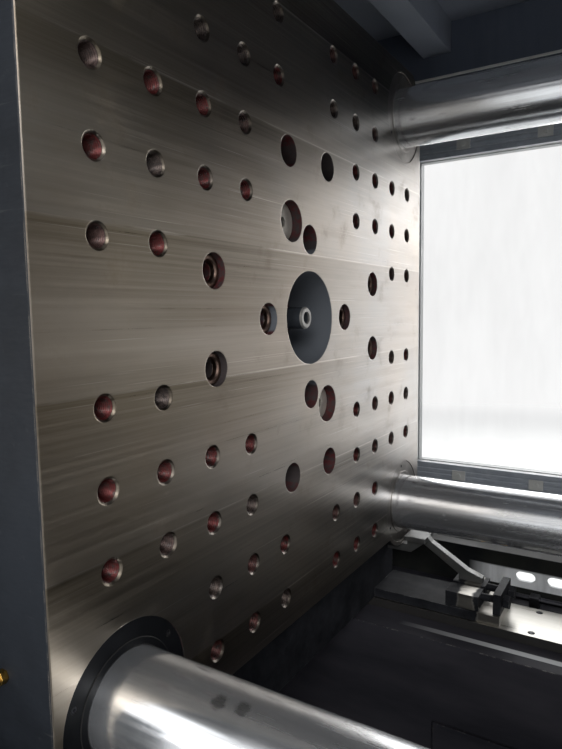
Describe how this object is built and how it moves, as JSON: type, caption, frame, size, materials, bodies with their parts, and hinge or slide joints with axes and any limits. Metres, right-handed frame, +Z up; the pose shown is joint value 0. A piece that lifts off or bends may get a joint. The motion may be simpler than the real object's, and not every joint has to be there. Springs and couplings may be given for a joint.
{
  "type": "injection moulding machine",
  "caption": "Horizontal injection moulding machine with tie-bar clamp, drilled mould platens, ejector, sliding guard doors, screw injection unit and hopper.",
  "frame": {"origin": "on the floor under the middle of the machine", "axes": "+X along the clamp axis towards the injection end, -Y is the operator's side, +Z up"},
  "size_m": [6, 1.624, 2.1233],
  "materials": {
    "dark_paint": "dark blue-grey textured paint",
    "light_paint": "light grey powder coat",
    "black_paint": "near-black satin paint",
    "hydraulic_paint": "grey machine enamel",
    "platen_steel": "milled face with an oil film, painted sides",
    "machined_steel": "turned and ground steel",
    "hard_chrome": "ground hard chrome, oiled",
    "bronze": "cast bronze",
    "brass": "turned brass",
    "seal_plastic": "black moulded wiper",
    "black_plastic": "black moulded plastic",
    "aluminium": "plain aluminium",
    "bright_steel": "bright zinc-plated or stainless steel",
    "clear_sheet": "clear polycarbonate",
    "screen_glass": "dark display pane",
    "red_plastic": "red moulded button"
  },
  "bodies": {
    "machine": {"levelling_feet": "machined_steel", "clamp_base": "dark_paint", "slide_ways": "machined_steel", "splash_plates": "aluminium", "grease_pipes": "machined_steel", "product_chute": "black_paint", "stationary_platen": "platen_steel", "cylinder_platen": "dark_paint", "tie_bars": "hard_chrome", "tie_bar_nuts": "machined_steel", "main_cylinder": "hydraulic_paint", "traverse_cylinders": "hydraulic_paint", "clamp_hood": "light_paint", "front_gate_frame": "dark_paint", "rear_gate_frame": "dark_paint", "top_cover": "black_paint", "door_tracks": "aluminium", "injection_base": "dark_paint", "carriage_rails": "machined_steel", "carriage_rods": "hard_chrome", "control_panel": "light_paint", "display_screen": "screen_glass"},
    "clamp": {"moving_platen": "platen_steel", "platen_bushes": "bronze", "wiper_rings": "seal_plastic", "ejector_housing": "dark_paint", "clamp_ram": "hard_chrome", "traverse_rods": "hard_chrome", "platen_skates": "machined_steel", "skate_braces": "machined_steel", "wedge_blocks": "machined_steel", "grease_fittings": "brass", "ejector_guide_rods": "machined_steel", "ejector_cylinders": "hydraulic_paint"},
    "ejector": {"ejector_plate": "machined_steel", "ejector_rods": "machined_steel"},
    "front_gate": {"front_door": "light_paint", "front_door_window": "clear_sheet", "front_door_handle": "black_plastic"},
    "rear_gate": {"rear_door": "light_paint", "rear_door_window": "clear_sheet", "rear_window_rails": "black_plastic", "rear_window_clips": "bright_steel", "rear_door_handle": "black_plastic"},
    "carriage": {"carriage_housing": "dark_paint", "barrel": "machined_steel", "nozzle": "machined_steel", "heater_bands": "bright_steel", "barrel_cover": "light_paint", "hopper": "bright_steel", "injection_cylinders": "hydraulic_paint", "carriage_cylinders": "hydraulic_paint"},
    "injection": {"crossbeam": "dark_paint", "injection_rods": "hard_chrome", "screw_motor": "hydraulic_paint"},
    "screw": {"screw": "hard_chrome"},
    "hopper_lid": {"hopper_lid": "bright_steel"},
    "feed_gate": {"feed_gate": "bright_steel"},
    "purge_guard": {"purge_guard": "light_paint"},
    "emergency_stop": {"emergency_stop": "red_plastic"}
  },
  "joints": [
    {"name": "clamp_slide", "type": "slide", "parent": "machine", "child": "clamp", "axis": [1, 0, 0], "range_m": [0, 0.75]},
    {"name": "ejector_slide", "type": "slide", "parent": "clamp", "child": "ejector", "axis": [1, 0, 0], "range_m": [0, 0.13]},
    {"name": "front_gate_slide", "type": "slide", "parent": "machine", "child": "front_gate", "axis": [1, 0, 0], "range_m": [0, 1.25]},
    {"name": "rear_gate_slide", "type": "slide", "parent": "machine", "child": "rear_gate", "axis": [-1, 0, 0], "range_m": [0, 1.25]},
    {"name": "carriage_slide", "type": "slide", "parent": "machine", "child": "carriage", "axis": [1, 0, 0], "range_m": [-0.135, 0.2]},
    {"name": "injection_slide", "type": "slide", "parent": "carriage", "child": "injection", "axis": [1, 0, 0], "range_m": [0, 0.2]},
    {"name": "screw_spin", "type": "hinge", "parent": "injection", "child": "screw", "pos_m": [1.505, 0, 1.23], "axis": [1, 0, 0], "continuous": true},
    {"name": "hopper_lid_hinge", "type": "hinge", "parent": "carriage", "child": "hopper_lid", "pos_m": [1.797, 0, 2.0958], "axis": [0, 1, 0], "range_deg": [0, 105]},
    {"name": "feed_gate_slide", "type": "slide", "parent": "carriage", "child": "feed_gate", "axis": [-1, 0, 0], "range_m": [0, 0.076]},
    {"name": "purge_guard_hinge", "type": "hinge", "parent": "machine", "child": "purge_guard", "pos_m": [0.316, 0, 1.438], "axis": [0, -1, 0], "range_deg": [0, 75]},
    {"name": "emergency_stop_push", "type": "slide", "parent": "machine", "child": "emergency_stop", "axis": [0, 1, 0], "range_m": [0, 0.006], "stiffness_N_per_m": 2500}
  ]
}
